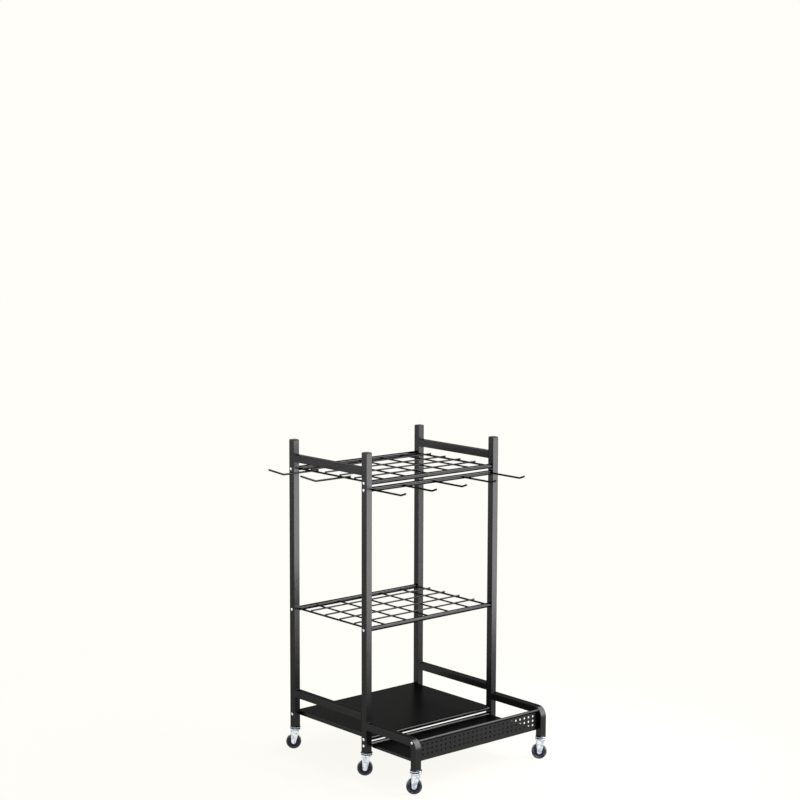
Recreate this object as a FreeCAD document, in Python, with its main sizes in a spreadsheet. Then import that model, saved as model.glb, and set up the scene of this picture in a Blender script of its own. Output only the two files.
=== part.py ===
import FreeCAD, Part
import Sketcher
import math
import os
from FreeCAD import Vector

# Freestanding garden tool rack on six swivel casters
# Millimetres, X to the right, Y to the back, Z up
# Origin on the floor, under the middle of the overall box

doc = FreeCAD.newDocument("tool_rack")
sheet = doc.addObject("Spreadsheet::Sheet", "sizes")

# Driving sizes
SIZES = {
    # frame
    "rack_width": 524,
    "rack_depth": 356,
    "bay_reach": 228,
    "rack_height": 1000,
    "tube_side": 23,
    "tube_wall": 1.5,
    "tube_corner": 1.5,
    "cap_rise": 4.5,
    "cap_plug": 12,
    "cap_chamfer": 1.5,
    "plug_clearance": 0.2,
    # centre lines, down from the top of the rack or up from the tube feet
    "top_bar_drop": 59,
    "guard_rise": 111,
    "arm_rise": 84,
    "arm_bend": 20,
    "top_grid_drop": 94,
    "hook_rail_drop": 21,
    "grid_spacing": 451,
    "base_rise": 42,
    "tray_rail_drop": 20,
    # round rails
    "rail_diameter": 15,
    "rail_sides": 16,
    "panel_rod_diameter": 10,
    "panel_setback": 5,
    # wire grids
    "side_rod_diameter": 6,
    "wire_diameter": 5,
    "wire_rise": 0.5,
    "y_wire_count": 5,
    "end_cell_width": 71.5,
    "x_wire_count": 4,
    "wire_sides": 10,
    # hooks
    "hook_diameter": 6,
    "hook_angle": 20,
    "hook_bend": 12,
    "front_hook_count": 5,
    "front_hook_margin": 17,
    "front_hook_run": 138,
    "front_hook_tip": 23.5,
    "side_hook_count": 2,
    "side_hook_margin": 99,
    "side_hook_run": 117,
    "side_hook_tip": 62,
    # sheet parts
    "sheet_thickness": 1.2,
    "sheet_gap": 0.3,
    "shelf_lip": 13,
    "tray_lip": 8,
    "tray_rise": 2,
    "panel_flange": 14,
    "hole_diameter": 7,
    "hole_sides": 8,
    "hole_columns": 26,
    "hole_rows": 3,
    "hole_side_margin": 20.2,
    "hole_row_pitch": 14.4,
    "hole_top_margin": 10,
    # screws
    "screw_head_diameter": 9,
    "screw_head_height": 2.4,
    "screw_head_taper": 25,
    "screw_head_sides": 12,
    # casters
    "caster_height": 72,
    "caster_trail": 5,
    "caster_turn": 40,
    "plate_diameter": 38,
    "plate_thickness": 2.5,
    "track_diameter": 24,
    "swivel_gap": 3,
    "kingpin_diameter": 8,
    "kingpin_rise": 24,
    "kingpin_head_diameter": 14,
    "kingpin_head_height": 1.5,
    "insert_length": 28,
    "fork_sheet": 2,
    "fork_top_diameter": 36,
    "fork_leg_width": 30,
    "fork_end_radius": 7,
    "wheel_diameter": 48,
    "wheel_width": 18,
    "core_diameter": 34,
    "core_recess": 1.5,
    "hub_diameter": 14,
    "hub_rise": 0.7,
    "axle_diameter": 6,
    "axle_head_diameter": 10,
    "axle_head_height": 1.5,
    "pin_clearance": 0.05,
    "pin_sides": 12,
    "disc_sides": 20,
    "wheel_sides": 24,
    "running_gap": 0.3,
}
for row, (alias, value) in enumerate(SIZES.items(), start=1):
    cell = "A" + str(row)
    sheet.set(cell, str(value))
    sheet.setAlias(cell, alias)
doc.recompute()


# Expressions: size names in braces stand for cells of the sheet
def ex(text):
    for alias in sorted(SIZES, key=len, reverse=True):
        text = text.replace("{" + alias + "}", "sizes." + alias)
    return text


def number(text):
    value = sheet.evalExpression(text)
    return float(getattr(value, "Value", value))


# Positions that follow from the sizes
HALF_TUBE = ex("({tube_side} / 2)")
TIP_REACH = ex("({side_hook_tip} * cos({hook_angle}) + {hook_diameter} / 2 * sin({hook_angle}))")
SIDE_REACH = "(" + ex("{side_hook_run} + ") + TIP_REACH + ")"
TRAIL_X = ex("({caster_trail} * cos({caster_turn}))")
TRAIL_Y = ex("({caster_trail} * sin({caster_turn}))")
WHEEL_X = ex("({wheel_diameter} / 2 * cos({caster_turn}) + {wheel_width} / 2 * sin({caster_turn}))")
WHEEL_Y = ex("({wheel_diameter} / 2 * sin({caster_turn}) + {wheel_width} / 2 * cos({caster_turn}))")
LEFT = "((" + SIDE_REACH + ex(" - {rack_width} - ") + WHEEL_X + " + " + TRAIL_X + ") / 2)"
RIGHT = "(" + LEFT + ex(" + {rack_width})")
MIDDLE = "(" + LEFT + ex(" + {rack_width} / 2)")
REAR = "(" + ex("({bay_reach} + {rack_depth}) / 2 - ") + TRAIL_Y + ")"
FRONT = "(" + REAR + ex(" - {rack_depth})")
LEGS = "(" + FRONT + ex(" - {bay_reach})")
SPAN = ex("({rack_width} - {tube_side})")
TOP_BAR_LEVEL = ex("({rack_height} - {top_bar_drop})")
TOP_LEVEL = ex("({rack_height} - {top_grid_drop})")
HOOK_LEVEL = "(" + TOP_LEVEL + ex(" - {hook_rail_drop})")
MIDDLE_LEVEL = "(" + TOP_LEVEL + ex(" - {grid_spacing})")
GUARD_LEVEL = ex("({caster_height} + {guard_rise})")
ARM_LEVEL = ex("({caster_height} + {arm_rise})")
BASE_LEVEL = ex("({caster_height} + {base_rise})")
TRAY_RAIL_LEVEL = "(" + BASE_LEVEL + ex(" - {tray_rail_drop})")
SIDE_ROD = ex("(({tube_side} + {side_rod_diameter}) / 2)")
BORE_SIDE = ex("({tube_side} - 2 * {tube_wall} - 2 * {plug_clearance})")
ROD_Y = "(" + LEGS + ex(" + {panel_setback})")
TRAY_TOP = "(" + TRAY_RAIL_LEVEL + ex(" + {tray_rise})")
AXLE_LEVEL = ex("({wheel_diameter} / 2)")
BRIDGE_TOP = ex("({caster_height} - {plate_thickness} - {swivel_gap})")
BRIDGE_LOW = "(" + BRIDGE_TOP + ex(" - {fork_sheet})")
HUB_WIDTH = ex("({wheel_width} + 2 * {hub_rise})")
FORK_INSIDE = "(" + HUB_WIDTH + ex(" + 2 * {running_gap})")
FORK_OUTSIDE = "(" + FORK_INSIDE + ex(" + 2 * {fork_sheet})")


# Body at a place in the rack
def make_body(label, x="0", y="0", z="0", turn="0"):
    body = doc.addObject("PartDesign::Body", label)
    body.Label = label
    body.AllowCompound = True
    body.Placement = FreeCAD.Placement(Vector(0, 0, 0), FreeCAD.Rotation(Vector(0, 0, 1), 1))
    body.setExpression("Placement.Rotation.Angle", turn)
    body.setExpression("Placement.Base.x", x)
    body.setExpression("Placement.Base.y", y)
    body.setExpression("Placement.Base.z", z)
    return body


def origin_part(body, role):
    return next(part for part in body.Origin.OriginFeatures if part.Role == role)


def make_sketch(body, name, role, offset="0"):
    sketch = body.newObject("Sketcher::SketchObject", body.Label + "_" + name)
    sketch.AttachmentSupport = (origin_part(body, role), [""])
    sketch.MapMode = "FlatFace"
    sketch.setExpression("AttachmentOffset.Base.z", offset)
    return sketch


def bind(sketch, kind, elements, text):
    name = "size" + str(sketch.ConstraintCount)
    index = sketch.addConstraint(Sketcher.Constraint(kind, *elements, number(text)))
    sketch.renameConstraint(index, name)
    sketch.setExpression("Constraints." + name, text)


def tie(sketch, kind, *elements):
    sketch.addConstraint(Sketcher.Constraint(kind, *elements))


def set_point(sketch, line, end, x, y):
    bind(sketch, "DistanceX", (-1, 1, line, end), x)
    bind(sketch, "DistanceY", (-1, 1, line, end), y)


# Closed outline with straight sides, each corner bound to the sizes
def draw_outline(sketch, corners):
    points = [Vector(number(x), number(y), 0) for x, y in corners]
    first = sketch.GeometryCount
    count = len(corners)
    for index in range(count):
        sketch.addGeometry(Part.LineSegment(points[index], points[(index + 1) % count]))
    for index in range(count):
        tie(sketch, "Coincident", first + index, 2, first + (index + 1) % count, 1)
        set_point(sketch, first + index, 1, *corners[index])


def draw_box(sketch, x0, y0, x1, y1):
    draw_outline(sketch, [(x0, y0), (x1, y0), (x1, y1), (x0, y1)])


# Repeated round pieces have few flats to stay light; their diameter is across the flats
def flats_radius(diameter, sides):
    return "((" + diameter + ") / 2 / cos(180 / " + sides + "))"


def draw_flats(sketch, x, y, diameter, sides):
    radius = flats_radius(diameter, sides)
    corners = []
    for index in range(int(number(sides))):
        turn = "(" + str(index + 0.5) + " * 360 / " + sides + ")"
        corners.append((x + " + " + radius + " * cos" + turn, y + " + " + radius + " * sin" + turn))
    draw_outline(sketch, corners)


def add_prism(body, name, diameter, sides, length, x="0", y="0", z="0", along="Z", cut=False):
    kind = "PartDesign::SubtractivePrism" if cut else "PartDesign::AdditivePrism"
    prism = body.newObject(kind, body.Label + "_" + name)
    spin = FreeCAD.Rotation(Vector(0, 0, 1), 180 / number(sides))
    lay = {"X": (Vector(0, 1, 0), 90), "Y": (Vector(1, 0, 0), -90), "Z": (Vector(0, 0, 1), 0)}[along]
    prism.Placement = FreeCAD.Placement(Vector(0, 0, 0), FreeCAD.Rotation(*lay).multiply(spin))
    prism.setExpression("Polygon", sides)
    prism.setExpression("Circumradius", flats_radius(diameter, sides))
    prism.setExpression("Height", length)
    prism.setExpression("Placement.Base.x", x)
    prism.setExpression("Placement.Base.y", y)
    prism.setExpression("Placement.Base.z", z)
    body.Tip = prism
    return prism


def add_block(body, name, size_x, size_y, size_z, x, y, z):
    block = body.newObject("PartDesign::AdditiveBox", body.Label + "_" + name)
    block.setExpression("Length", size_x)
    block.setExpression("Width", size_y)
    block.setExpression("Height", size_z)
    block.setExpression("Placement.Base.x", x)
    block.setExpression("Placement.Base.y", y)
    block.setExpression("Placement.Base.z", z)
    body.Tip = block
    return block


# Square with small corner flats, centred on the sketch's origin
def draw_square_outside(sketch):
    near = "(" + HALF_TUBE + ex(" - {tube_corner})")
    far = HALF_TUBE
    corners = [("-" + near, "-" + far), (near, "-" + far), (far, "-" + near), (far, near)]
    corners += [(near, far), ("-" + near, far), ("-" + far, near), ("-" + far, "-" + near)]
    draw_outline(sketch, corners)


def draw_tube_section(sketch):
    draw_square_outside(sketch)
    inner = HALF_TUBE + ex(" - {tube_wall}")
    draw_box(sketch, "-(" + inner + ")", "-(" + inner + ")", inner, inner)


# Straight run, bend and straight tip, starting at the origin along the first axis
def draw_bent_path(sketch, run, tip_x, tip_y, angle, bend):
    turn = math.radians(number(angle))
    sign = 1 if number(run) > 0 else -1
    radius = number(bend)
    start = number(run) - sign * radius * math.tan(turn / 2)
    if sign > 0:
        first_angle, last_angle = -math.pi / 2, turn - math.pi / 2
    else:
        first_angle, last_angle = -math.pi / 2 - turn, -math.pi / 2
    circle = Part.Circle(Vector(start, radius, 0), Vector(0, 0, 1), radius)
    arc = Part.ArcOfCircle(circle, first_angle, last_angle)
    near, far = (1, 2) if sign > 0 else (2, 1)
    tip_start = arc.EndPoint if sign > 0 else arc.StartPoint
    sketch.addGeometry(Part.LineSegment(Vector(0, 0, 0), Vector(start, 0, 0)))
    sketch.addGeometry(arc)
    sketch.addGeometry(Part.LineSegment(tip_start, Vector(number(tip_x), number(tip_y), 0)))
    tie(sketch, "Coincident", 0, 1, -1, 1)
    tie(sketch, "Horizontal", 0)
    tie(sketch, "Tangent", 0, 2, 1, near)
    tie(sketch, "Tangent", 1, far, 2, 1)
    bind(sketch, "Radius", (1,), bend)
    set_point(sketch, 2, 2, tip_x, tip_y)
    return sign


def make_pad(body, name, sketch, length, reversed_way=False, midplane=False):
    pad = body.newObject("PartDesign::Pad", body.Label + "_" + name)
    pad.Profile = sketch
    pad.SideType = "Symmetric" if midplane else "One side"
    pad.Reversed = reversed_way
    pad.setExpression("Length", length)
    body.Tip = pad
    return pad


def make_pocket(body, name, sketch, reversed_way=False, midplane=False, length=None):
    doc.recompute()
    before = body.Shape.Volume
    pocket = body.newObject("PartDesign::Pocket", body.Label + "_" + name)
    pocket.Profile = sketch
    pocket.SideType = "Symmetric" if midplane else "One side"
    pocket.Reversed = reversed_way
    if length is None:
        pocket.Type = "ThroughAll"
    else:
        pocket.setExpression("Length", length)
    body.Tip = pocket
    doc.recompute()
    if not pocket.Shape.Volume < before - 0.01:
        raise RuntimeError(pocket.Name + " cuts nothing")
    return pocket


def make_pattern(body, name, originals, role, length, count):
    pattern = body.newObject("PartDesign::LinearPattern", body.Label + "_" + name)
    pattern.Originals = originals
    pattern.Direction = (origin_part(body, role), [""])
    pattern.setExpression("Length", length)
    pattern.setExpression("Occurrences", count)
    body.Tip = pattern
    return pattern


# Square tubes
def make_post(label, x, y):
    body = make_body(label, x, y, ex("{caster_height}"))
    section = make_sketch(body, "section", "XY_Plane")
    draw_tube_section(section)
    make_pad(body, "tube", section, ex("{rack_height} - {cap_rise} - {caster_height}"))


def make_side_bar(label, x, level):
    body = make_body(label, x, FRONT + " + " + HALF_TUBE, level)
    section = make_sketch(body, "section", "XZ_Plane")
    draw_tube_section(section)
    make_pad(body, "tube", section, ex("{rack_depth} - {tube_side}"), reversed_way=True)


def make_base_arm(label, x):
    body = make_body(label, x, FRONT + " - " + HALF_TUBE, ARM_LEVEL)
    section = make_sketch(body, "section", "XZ_Plane")
    draw_tube_section(section)
    path = make_sketch(body, "path", "YZ_Plane")
    reach = "(" + HALF_TUBE + ex(" - {bay_reach})")
    drop = ex("(-{arm_rise})")
    bend = ex("{arm_bend}")
    radius = number(bend)
    corner = Vector(number(reach), 0, 0)
    centre = corner + Vector(radius, -radius, 0)
    arc = Part.ArcOfCircle(Part.Circle(centre, Vector(0, 0, 1), radius), math.pi / 2, math.pi)
    path.addGeometry(Part.LineSegment(Vector(0, 0, 0), arc.StartPoint))
    path.addGeometry(arc)
    path.addGeometry(Part.LineSegment(arc.EndPoint, Vector(corner.x, number(drop), 0)))
    tie(path, "Coincident", 0, 1, -1, 1)
    tie(path, "Horizontal", 0)
    tie(path, "Tangent", 0, 2, 1, 1)
    tie(path, "Tangent", 1, 2, 2, 1)
    tie(path, "Vertical", 2)
    bind(path, "Radius", (1,), bend)
    set_point(path, 2, 2, reach, drop)
    pipe = body.newObject("PartDesign::AdditivePipe", label + "_tube")
    pipe.Profile = section
    pipe.Spine = (path, ["Edge1", "Edge2", "Edge3"])
    body.Tip = pipe


def make_post_caps():
    body = make_body("post_caps", LEFT, FRONT, ex("{rack_height} - {cap_rise}"))
    top = make_sketch(body, "top", "XY_Plane")
    draw_square_outside(top)
    cap = make_pad(body, "cap", top, ex("{cap_rise}"))
    doc.recompute()
    edges = []
    for index, edge in enumerate(cap.Shape.Edges, start=1):
        low = min(vertex.Z for vertex in edge.Vertexes)
        if low > number(ex("{cap_rise}")) - 0.01:
            edges.append("Edge" + str(index))
    chamfer = body.newObject("PartDesign::Chamfer", "post_caps_chamfer")
    chamfer.Base = (cap, edges)
    chamfer.setExpression("Size", ex("{cap_chamfer}"))
    body.Tip = chamfer
    doc.recompute()
    plug = make_sketch(body, "plug_section", "XY_Plane")
    half = "(" + BORE_SIDE + " / 2)"
    draw_box(plug, "-" + half, "-" + half, half, half)
    make_pad(body, "plug", plug, ex("{cap_plug}"), reversed_way=True)
    return body


def make_rail(label, y, level, diameter="{rail_diameter}"):
    body = make_body(label, LEFT + " + " + HALF_TUBE, y, level)
    add_prism(body, "bar", ex(diameter), ex("{rail_sides}"), SPAN, along="X")


# Wire grids
def make_side_rod(label, x, level):
    body = make_body(label, x, FRONT + ex(" + {rail_diameter} / 2"), level)
    length = ex("{rack_depth} - {rail_diameter}")
    add_prism(body, "rod", ex("{side_rod_diameter}"), ex("{wire_sides}"), length, along="Y")


def make_y_wires(label, level):
    margin = "(" + SIDE_ROD + ex(" + {end_cell_width})")
    near = FRONT + ex(" + {rail_diameter} / 2")
    body = make_body(label, LEFT + " + " + margin, near, level + ex(" + {wire_rise}"))
    length = ex("{rack_depth} - {rail_diameter}")
    wire = add_prism(body, "wire", ex("{wire_diameter}"), ex("{wire_sides}"), length, along="Y")
    span = ex("{rack_width} - 2 * ") + margin
    make_pattern(body, "row", [wire], "X_Axis", span, ex("{y_wire_count}"))


def make_x_wires(label, level):
    step = ex("{rack_depth} / ({x_wire_count} + 1)")
    height = level + ex(" + {wire_rise} + {wire_diameter}")
    body = make_body(label, LEFT + " + " + HALF_TUBE, FRONT + " + " + step, height)
    wire = add_prism(body, "wire", ex("{wire_diameter}"), ex("{wire_sides}"), SPAN, along="X")
    span = step + ex(" * ({x_wire_count} - 1)")
    make_pattern(body, "row", [wire], "Y_Axis", span, ex("{x_wire_count}"))


# Hooks
def make_hooks(body, path_role, section_role, run, tip, row_role, row_length, count):
    label = body.Label
    path = make_sketch(body, "path", path_role)
    tip_x = "-(" + run + " + " + tip + ex(" * cos({hook_angle}))")
    tip_y = tip + ex(" * sin({hook_angle})")
    draw_bent_path(path, "-(" + run + ")", tip_x, tip_y, ex("{hook_angle}"), ex("{hook_bend}"))
    section = make_sketch(body, "section", section_role)
    draw_flats(section, "0", "0", ex("{hook_diameter}"), ex("{wire_sides}"))
    hook = body.newObject("PartDesign::AdditivePipe", label + "_hook")
    hook.Profile = section
    hook.Spine = (path, ["Edge1", "Edge2", "Edge3"])
    body.Tip = hook
    make_pattern(body, "row", [hook], row_role, row_length, count)


def make_front_hooks():
    margin = ex("{front_hook_margin}")
    y = FRONT + ex(" - {rail_diameter} / 2")
    body = make_body("front_hooks", LEFT + " + " + margin, y, HOOK_LEVEL)
    run = ex("({front_hook_run} - {rail_diameter} / 2)")
    tip = ex("{front_hook_tip}")
    row = ex("{rack_width} - 2 * ") + margin
    make_hooks(body, "YZ_Plane", "XZ_Plane", run, tip, "X_Axis", row, ex("{front_hook_count}"))


def make_side_hooks():
    inset = "(" + SIDE_ROD + ex(" + {side_rod_diameter} / 2)")
    margin = ex("{side_hook_margin}")
    z = TOP_LEVEL + ex(" + ({side_rod_diameter} + {hook_diameter}) / 2")
    body = make_body("side_hooks", LEFT + " + " + inset, FRONT + " + " + margin, z)
    run = "(" + ex("{side_hook_run} + ") + inset + ")"
    tip = ex("{side_hook_tip}")
    row = ex("{rack_depth} - 2 * ") + margin
    make_hooks(body, "XZ_Plane", "YZ_Plane", run, tip, "Y_Axis", row, ex("{side_hook_count}"))


# Sheet parts
INNER_LEFT = LEFT + " + " + HALF_TUBE + ex(" + {sheet_gap}")
SHEET_WIDTH = "(" + SPAN + ex(" - 2 * {sheet_gap})")


def make_base_shelf():
    bottom = BASE_LEVEL + ex(" + {rail_diameter} / 2")
    body = make_body("base_shelf", INNER_LEFT, FRONT, bottom)
    plate = make_sketch(body, "plate", "XY_Plane")
    edge = ex("({rail_diameter} / 2)")
    draw_box(plate, "0", "-" + edge, SHEET_WIDTH, ex("{rack_depth} + ") + edge)
    make_pad(body, "sheet", plate, ex("{sheet_thickness}"))
    lips = make_sketch(body, "lips", "XY_Plane")
    near = edge + ex(" + {sheet_gap}")
    far = ex("{rack_depth} - ") + edge + ex(" - {sheet_gap}")
    draw_box(lips, "0", near, ex("{sheet_thickness}"), far)
    draw_box(lips, SHEET_WIDTH + ex(" - {sheet_thickness}"), near, SHEET_WIDTH, far)
    make_pad(body, "lip_pair", lips, ex("{shelf_lip} - {sheet_thickness}"), reversed_way=True)


def make_tray_floor():
    front = ROD_Y + ex(" + {sheet_thickness} / 2 + {sheet_gap}")
    back = FRONT + ex(" - {rail_diameter} / 2 - {sheet_gap}")
    bottom = TRAY_TOP + ex(" - {sheet_thickness}")
    depth = "(" + back + " - (" + front + "))"
    body = make_body("tray_floor", INNER_LEFT, front, bottom)
    plate = make_sketch(body, "plate", "XY_Plane")
    draw_box(plate, "0", "0", SHEET_WIDTH, depth)
    make_pad(body, "sheet", plate, ex("{sheet_thickness}"))
    lips = make_sketch(body, "lips", "XY_Plane")
    start = ex("({panel_flange} + {sheet_gap})")
    inner = SHEET_WIDTH + ex(" - {sheet_thickness}")
    sill = depth + ex(" - {sheet_thickness}")
    thin = ex("{sheet_thickness}")
    corners = [("0", start), (thin, start), (thin, sill), (inner, sill)]
    corners += [(inner, start), (SHEET_WIDTH, start), (SHEET_WIDTH, depth), ("0", depth)]
    draw_outline(lips, corners)
    make_pad(body, "lip", lips, ex("{tray_lip} - {sheet_thickness}"), reversed_way=True)


def make_front_panel():
    low = TRAY_TOP + ex(" - 2 * {sheet_thickness}")
    high = ARM_LEVEL + ex(" - {panel_rod_diameter} / 2")
    height = "(" + high + " - (" + low + "))"
    body = make_body("front_panel", INNER_LEFT, ROD_Y, low)
    face = make_sketch(body, "face", "XZ_Plane")
    draw_box(face, "0", "0", SHEET_WIDTH, height)
    make_pad(body, "sheet", face, ex("{sheet_thickness}"), midplane=True)
    flange = make_sketch(body, "flange", "XY_Plane")
    half = ex("({sheet_thickness} / 2)")
    draw_box(flange, "0", half, SHEET_WIDTH, half + ex(" + {panel_flange}"))
    make_pad(body, "return", flange, ex("{sheet_thickness}"))
    margin = ex("{hole_side_margin}")
    lowest = height + ex(" - {hole_top_margin} - {hole_row_pitch} * ({hole_rows} - 1)")
    through = ex("{sheet_thickness}")
    size = ex("{hole_diameter}")
    sides = ex("{hole_sides}")
    place = (margin, "-" + through, lowest)
    first = add_prism(body, "hole", size, sides, through + " * 2", *place, "Y", cut=True)
    grid = body.newObject("PartDesign::LinearPattern", "front_panel_perforation")
    grid.Originals = [first]
    grid.Direction = (origin_part(body, "X_Axis"), [""])
    grid.setExpression("Length", SHEET_WIDTH + " - 2 * " + margin)
    grid.setExpression("Occurrences", ex("{hole_columns}"))
    grid.Direction2 = (origin_part(body, "Z_Axis"), [""])
    grid.setExpression("Length2", ex("{hole_row_pitch} * ({hole_rows} - 1)"))
    grid.setExpression("Occurrences2", ex("{hole_rows}"))
    body.Tip = grid


# Screw heads on the outer sides of posts and legs
def make_screws():
    body = make_body("frame_screws", MIDDLE, "0", "0")
    face = ex("-({rack_width} + {tube_side}) / 2")
    rows = [(FRONT, TOP_LEVEL), (FRONT, HOOK_LEVEL), (FRONT, MIDDLE_LEVEL)]
    rows += [(FRONT, BASE_LEVEL), (FRONT, TRAY_RAIL_LEVEL)]
    rows += [(REAR, TOP_LEVEL), (REAR, MIDDLE_LEVEL), (REAR, BASE_LEVEL)]
    rows += [(ROD_Y, ARM_LEVEL)]
    heads = []
    for index, (y, level) in enumerate(rows):
        outline = make_sketch(body, "outline" + str(index), "YZ_Plane", face)
        draw_flats(outline, y, level, ex("{screw_head_diameter}"), ex("{screw_head_sides}"))
        height = ex("{screw_head_height}")
        head = make_pad(body, "head" + str(index), outline, height, reversed_way=True)
        head.setExpression("TaperAngle", ex("-{screw_head_taper} * 1 deg"))
        heads.append(head)
    doc.recompute()
    both = body.newObject("PartDesign::Mirrored", "frame_screws_both_sides")
    both.Originals = heads
    both.MirrorPlane = (origin_part(body, "YZ_Plane"), [""])
    body.Tip = both


# Casters
CASTERS = {
    "leg_left": (LEFT, LEGS),
    "leg_right": (RIGHT, LEGS),
    "front_left": (LEFT, FRONT),
    "front_right": (RIGHT, FRONT),
    "rear_left": (LEFT, REAR),
    "rear_right": (RIGHT, REAR),
}
SPOTS = [(x, y) for x in ("0", ex("{rack_width}")) for y in (LEGS, FRONT, REAR)]


def make_inserts():
    body = make_body("caster_inserts", LEFT, "0", ex("{caster_height}"))
    half = BORE_SIDE + " / 2"
    bore = ex("{kingpin_diameter} + 2 * {pin_clearance}")
    length = ex("{insert_length}")
    for index, (x, y) in enumerate(SPOTS):
        place = (x + " - " + half, y + " - " + half, "0")
        add_block(body, "plug" + str(index), BORE_SIDE, BORE_SIDE, length, *place)
        add_prism(body, "bore" + str(index), bore, ex("{pin_sides}"), length, x, y, "0", cut=True)


def make_stems():
    body = make_body("caster_stems", LEFT, "0", ex("{caster_height}"))
    under_head = ex("({swivel_gap} + {plate_thickness} + {fork_sheet} + {running_gap})")
    track_low = ex("({plate_thickness} + {swivel_gap} - {running_gap})")
    head_low = "(" + under_head + ex(" + {kingpin_head_height})")
    pin_length = ex("{kingpin_rise} + ") + under_head
    plate_height = ex("{plate_thickness}")
    track_height = ex("{swivel_gap} - {running_gap}")
    head_height = ex("{kingpin_head_height}")
    discs = [
        ("pin", "{kingpin_diameter}", "{pin_sides}", "-" + under_head, pin_length),
        ("plate", "{plate_diameter}", "{disc_sides}", "-" + plate_height, plate_height),
        ("track", "{track_diameter}", "{pin_sides}", "-" + track_low, track_height),
        ("head", "{kingpin_head_diameter}", "{pin_sides}", "-" + head_low, head_height),
    ]
    for index, (x, y) in enumerate(SPOTS):
        for name, diameter, sides, start, length in discs:
            add_prism(body, name + str(index), ex(diameter), ex(sides), length, x, y, start)


# A turning hole clears the corners of the pin with flats inside it
def turning_bore(diameter):
    corner = "cos(" + str(180.0 / int(number(ex("{pin_sides}")))) + ")"
    return "(" + diameter + " / " + corner + ex(" + 2 * {pin_clearance})")


def make_fork(label, x, y):
    body = make_body(label, x, y, turn=ex("-{caster_turn}"))
    disc_sides = ex("{disc_sides}")
    add_prism(body, "bridge", ex("{fork_top_diameter}"), disc_sides, ex("{fork_sheet}"), z=BRIDGE_LOW)
    side = make_sketch(body, "side", "XZ_Plane")
    half = ex("({fork_leg_width} / 2)")
    trail = ex("-{caster_trail}")
    level = BRIDGE_LOW + ex(" + {fork_sheet} / 2")
    corners = [("-" + half, level)]
    for index in range(5):
        turn = str(180 + 45 * index)
        end_x = trail + ex(" + {fork_end_radius} * cos(") + turn + ")"
        end_y = AXLE_LEVEL + ex(" + {fork_end_radius} * sin(") + turn + ")"
        corners.append((end_x, end_y))
    corners.append((half, level))
    draw_outline(side, corners)
    make_pad(body, "legs", side, FORK_OUTSIDE, midplane=True)
    space = make_sketch(body, "space", "YZ_Plane")
    inside = "(" + FORK_INSIDE + " / 2)"
    draw_box(space, "-" + inside, "0", inside, BRIDGE_LOW)
    make_pocket(body, "wheel_space", space, midplane=True)
    pin_sides = ex("{pin_sides}")
    swivel = turning_bore(ex("{kingpin_diameter}"))
    through = ex("2 * {fork_sheet}")
    add_prism(body, "swivel_hole", swivel, pin_sides, through, z=BRIDGE_LOW, cut=True)
    outside = "-" + FORK_OUTSIDE + " / 2"
    pin = ex("{axle_diameter}")
    place = (trail, outside, AXLE_LEVEL)
    add_prism(body, "axle_hole", pin, pin_sides, FORK_OUTSIDE, *place, "Y", cut=True)


# Pieces on the axle line, built up from discs centred on the wheel
def make_on_axle(label, x, y):
    turn = ex("-{caster_turn}")
    return make_body(label, x + " - " + TRAIL_X, y + " + " + TRAIL_Y, AXLE_LEVEL, turn)


def add_disc(body, name, diameter, sides, width, cut=False):
    start = "-(" + width + ") / 2"
    return add_prism(body, name, diameter, ex(sides), width, "0", start, "0", "Y", cut)


def make_axle(label, x, y):
    body = make_on_axle(label, x, y)
    inner = "(" + FORK_OUTSIDE + " / 2)"
    head = ex("{axle_head_diameter}")
    height = ex("{axle_head_height}")
    sides = ex("{pin_sides}")
    add_disc(body, "shank", ex("{axle_diameter}"), "{pin_sides}", FORK_OUTSIDE)
    add_prism(body, "front_head", head, sides, height, y="-" + inner + " - " + height, along="Y")
    add_prism(body, "back_head", head, sides, height, y=inner, along="Y")


def make_core(label, x, y):
    body = make_on_axle(label, x, y)
    web_width = ex("{wheel_width} - 2 * {core_recess}")
    add_disc(body, "web", ex("{core_diameter}"), "{wheel_sides}", web_width)
    add_disc(body, "hub", ex("{hub_diameter}"), "{pin_sides}", HUB_WIDTH)
    add_disc(body, "bore", turning_bore(ex("{axle_diameter}")), "{pin_sides}", HUB_WIDTH, cut=True)


def make_tyre(label, x, y):
    body = make_on_axle(label, x, y)
    add_disc(body, "tread", ex("{wheel_diameter}"), "{wheel_sides}", ex("{wheel_width}"))
    add_disc(body, "seat", ex("{core_diameter}"), "{wheel_sides}", ex("{wheel_width}"), cut=True)


# The rack
for name, (x, y) in CASTERS.items():
    if not name.startswith("leg"):
        make_post("post_" + name, x, y)
caps = make_post_caps()
for side, x in (("left", LEFT), ("right", RIGHT)):
    make_side_bar("top_bar_" + side, x, TOP_BAR_LEVEL)
    make_side_bar("guard_bar_" + side, x, GUARD_LEVEL)
    make_base_arm("base_arm_" + side, x)

make_rail("top_front_rail", FRONT, TOP_LEVEL)
make_rail("hook_rail", FRONT, HOOK_LEVEL)
make_rail("top_rear_rail", REAR, TOP_LEVEL)
make_rail("middle_front_rail", FRONT, MIDDLE_LEVEL)
make_rail("middle_rear_rail", REAR, MIDDLE_LEVEL)
make_rail("base_front_rail", FRONT, BASE_LEVEL)
make_rail("tray_rail", FRONT, TRAY_RAIL_LEVEL)
make_rail("base_rear_rail", REAR, BASE_LEVEL)
make_rail("panel_rod", ROD_Y, ARM_LEVEL, "{panel_rod_diameter}")

for grid, level in (("top", TOP_LEVEL), ("middle", MIDDLE_LEVEL)):
    make_side_rod(grid + "_side_rod_left", LEFT + " + " + SIDE_ROD, level)
    make_side_rod(grid + "_side_rod_right", RIGHT + " - " + SIDE_ROD, level)
    make_y_wires(grid + "_y_wires", level)
    make_x_wires(grid + "_x_wires", level)

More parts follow.
